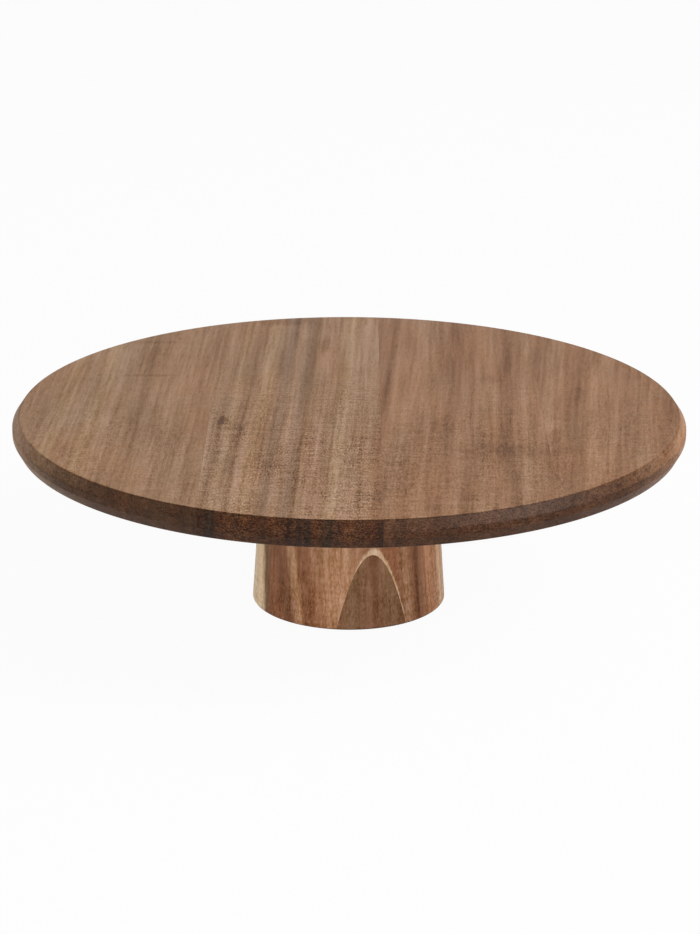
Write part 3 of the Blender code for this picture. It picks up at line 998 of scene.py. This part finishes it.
# each plane: direction, start in mm, softness in mm, strength
front_skin = ((0.012, -1.0, 0.01 - GLUE_LEAN), GLUE_DEPTHS[0] / MM + SKIN_DEPTH, 0.08, 0.5)
bark_edge = ((-cos(GLUE_TURN), sin(GLUE_TURN), 0.0), BARK_REACH, 1.0, 0.95)
pedestal_looks = [
    {"lean": 0.0, "speckle": 1.3},
    {"lean": -0.065, "speckle": 1.4, "sap": front_skin},
    {"lean": 0.0, "speckle": 1.0, "sap": bark_edge},
    {"lean": 0.0, "speckle": 1.0},
]
rows = zip(pedestal_boards, pedestal_bands, pedestal_marks, pedestal_looks)
for number, (board, bands, marks, look) in enumerate(rows, 1):
    wood = oiled_acacia(
        f"oiled_acacia_pedestal_{number}", GRAIN_Z, FIBRES_Z, bands, marks, number + PEDESTAL_SEED,
        wander=PEDESTAL_WANDER, **look,
    )
    dress(board, "pedestal", f"pedestal_board_{number}", wood)

# %% [markdown]
# The small pieces. Zinc-plated steel is a pale grey metal with a faint cloudy film; cut brass is warmer,
# with a fine cloud of tool marks; moulded rubber is near black and dull; pressed felt is a mat of short
# fibres with no direction. All four are blobs of two near tones at different sizes, so one function makes
# them.

# %% Finish the metal, rubber and felt
BLOB_DETAIL = 4.0
BLOB_RELIEF = 0.5


def grainy(name, dark, light, size, lumps, roughness, metallic=0.0):
    """One pattern of blobs, size in millimetres, mixes two colours and raises the surface."""
    material, tree, shader = blank_material(name, Metallic=metallic, Roughness=roughness)
    place = add_node(tree, "ShaderNodeTexCoord", output="Object")
    spot = add_node(tree, "ShaderNodeMapping", {"Vector": place, "Scale": (1 / (size * MM),) * 3})
    inputs = {"Vector": spot, "Scale": 1.0, "Detail": BLOB_DETAIL}
    noise = add_node(tree, "ShaderNodeTexNoise", inputs)
    inputs = {0: noise, 6: linear(dark), 7: linear(light)}
    mixed = add_node(tree, "ShaderNodeMix", inputs, 2, data_type="RGBA")
    tree.links.new(mixed, shader.inputs["Base Color"])
    inputs = {"Height": noise, "Strength": BLOB_RELIEF, "Distance": lumps * MM}
    bump = add_node(tree, "ShaderNodeBump", inputs)
    tree.links.new(bump, shader.inputs["Normal"])
    return material


zinc = grainy("zinc_plated_steel", "#9b9c99", "#c9cac4", 1.5, 0.02, 0.32, 1.0)
brass = grainy("turned_brass", "#a8813f", "#d9b56a", 0.8, 0.02, 0.3, 1.0)
rubber = grainy("moulded_rubber", "#191918", "#2b2a28", 0.6, 0.05, 0.7)
felt = grainy("pressed_felt", "#3f3a34", "#6a635a", 0.4, 0.25, 0.95)
dress(bolt, "pedestal", "hanger_bolt", zinc)
dress(insert, "plate", "threaded_insert", brass)
dress(washer, "washer", "seat_washer", rubber)
for pad, name in zip(pads, pad_names):
    dress(pad, "pedestal", name, felt)

# %% [markdown]
# The stage is a sheet of pale paper. It is large enough that no view shows its edge, and lies a hair below
# the pads, because two faces in one plane would flicker. The view transform is the plain one, so that a
# colour renders about as it is written.

# %% Floor
scene = bpy.context.scene
scene.view_settings.view_transform = "Standard"
FLOOR_SIZE = 40.0
FLOOR_DROP = 0.1 * MM
FLOOR_WHITE = "#d6d5d2"
bpy.ops.mesh.primitive_plane_add(size=FLOOR_SIZE, location=(0, 0, -FLOOR_DROP))
floor = bpy.context.object
floor.name = "floor"
paper, paper_tree, paper_shader = blank_material(
    "white_paper_sweep", Roughness=0.9, Base_Color=linear(FLOOR_WHITE)
)
floor.data.materials.append(paper)
print("floor:", FLOOR_SIZE, "m, paper", FLOOR_WHITE)

# %% [markdown]
# The floor looks white to the camera and still takes a soft shadow. More light would bleach the wood, so a
# white glow is mixed in for camera rays, and for glossy and transmission rays, so that metal shows the same
# floor. A little of the paper stays, and with it the shadow. From below the sheet is clear to the camera,
# so that the underside can be seen.

# %% White floor
WHITENESS = 0.955


def seen_directly(tree, unseen, seen):
    """A number that is seen for camera, glossy and transmission rays, and unseen for the others."""
    rays = add_node(tree, "ShaderNodeLightPath").node.outputs
    inputs = {0: rays["Is Glossy Ray"], 1: rays["Is Transmission Ray"]}
    mirrored = add_node(tree, "ShaderNodeMath", inputs, operation="MAXIMUM")
    inputs = {0: rays["Is Camera Ray"], 1: mirrored}
    direct = add_node(tree, "ShaderNodeMath", inputs, operation="MAXIMUM")
    return add_node(tree, "ShaderNodeMapRange", {"Value": direct, 3: unseen, 4: seen})


glow = add_node(paper_tree, "ShaderNodeEmission", {"Color": (1, 1, 1, 1), "Strength": 1.0})
share = seen_directly(paper_tree, 0.0, WHITENESS)
blend = add_node(paper_tree, "ShaderNodeMixShader", {0: share, 1: paper_shader.outputs[0], 2: glow})
below = add_node(paper_tree, "ShaderNodeNewGeometry", output="Backfacing")
looked_at = add_node(paper_tree, "ShaderNodeLightPath", output="Is Camera Ray")
from_below = add_node(paper_tree, "ShaderNodeMath", {0: below, 1: looked_at}, operation="MULTIPLY")
clear = add_node(paper_tree, "ShaderNodeBsdfTransparent")
sweep = add_node(paper_tree, "ShaderNodeMixShader", {0: from_below, 1: blend, 2: clear})
paper_tree.links.new(sweep, paper_tree.nodes["Material Output"].inputs["Surface"])
print("floor is", WHITENESS, "glow to the camera")

# %% [markdown]
# The surround is white to the camera in the same way, but lights the stand much more weakly, as the walls of
# a studio do. It fills the shadows a little and leaves the shaping to the lamps.

# %% White surround
SURROUND = 0.27
world = bpy.data.worlds.new("studio")
scene.world = world
world.use_nodes = True
sky = world.node_tree
sky.links.new(seen_directly(sky, SURROUND, 1.0), sky.nodes["Background"].inputs["Strength"])
sky.nodes["Background"].inputs["Color"].default_value = (1, 1, 1, 1)
print("surround lights at", SURROUND)

# %% [markdown]
# Four soft lights. One lamp over the top would leave the pedestal in the plate's shadow, so the work is
# shared. The key, high on the right, lights the plate's top and picks out the upper chamfer. Three low
# ones, front, left and right, reach the pedestal under the plate.

# %% Lights
def soft_light(name, spot, aim, size, watts):
    """A square area light at a spot, turned to face a point."""
    lamp = bpy.data.lights.new(name, "AREA")
    lamp.size, lamp.energy = size, watts
    holder = bpy.data.objects.new(name, lamp)
    scene.collection.objects.link(holder)
    holder.location = spot
    holder.rotation_euler = (Vector(aim) - Vector(spot)).to_track_quat("-Z", "Y").to_euler()
    print(name, "light,", watts, "W")


soft_light("key", (1.4, -0.6, 1.5), (0, 0, 0.06), 0.8, 36)
soft_light("front", (0.3, -1.6, 0.35), (0, 0, 0.04), 0.9, 9.7)
soft_light("left", (-1.2, -0.9, 0.2), (0, 0, 0.03), 0.5, 6.8)
soft_light("right", (1.3, -0.7, 0.3), (0, 0, 0.04), 0.6, 3.1)

# %% [markdown]
# The camera stands where the photograph was taken from: about 1.35 m away, 19 degrees above the table, a
# long lens, with a very slight roll. A tracking constraint would keep it level, so its axes are written
# straight into its matrix instead.

# %% Camera
IMAGE_HEIGHT = 934
FOCAL_PIXELS = 3000
SENSOR_WIDTH = 36.0
NEAREST = 0.05
DISTANCE = 1.34997
ELEVATION = radians(18.89)
AIM_HEIGHT = 62.55 * MM
SIDE_STEP = 0.4 * MM
ROLL = radians(0.22)
lens = bpy.data.cameras.new("camera")
lens.sensor_width = SENSOR_WIDTH
lens.lens = SENSOR_WIDTH * FOCAL_PIXELS / IMAGE_HEIGHT
lens.clip_start = NEAREST
camera = bpy.data.objects.new("camera", lens)
scene.collection.objects.link(camera)
scene.camera = camera
forward = Vector((0, cos(ELEVATION), -sin(ELEVATION)))
level_right = Vector((1, 0, 0))
level_up = level_right.cross(forward)
right = level_right * cos(ROLL) + level_up * sin(ROLL)
up = level_up * cos(ROLL) - level_right * sin(ROLL)
spot = Vector((SIDE_STEP, 0, AIM_HEIGHT)) - forward * DISTANCE
camera.matrix_world = Matrix(
    [(right[i], up[i], -forward[i], spot[i]) for i in range(3)] + [(0, 0, 0, 1)]
)
print("lens", round(lens.lens, 1), "mm at", tuple(round(v, 3) for v in spot))
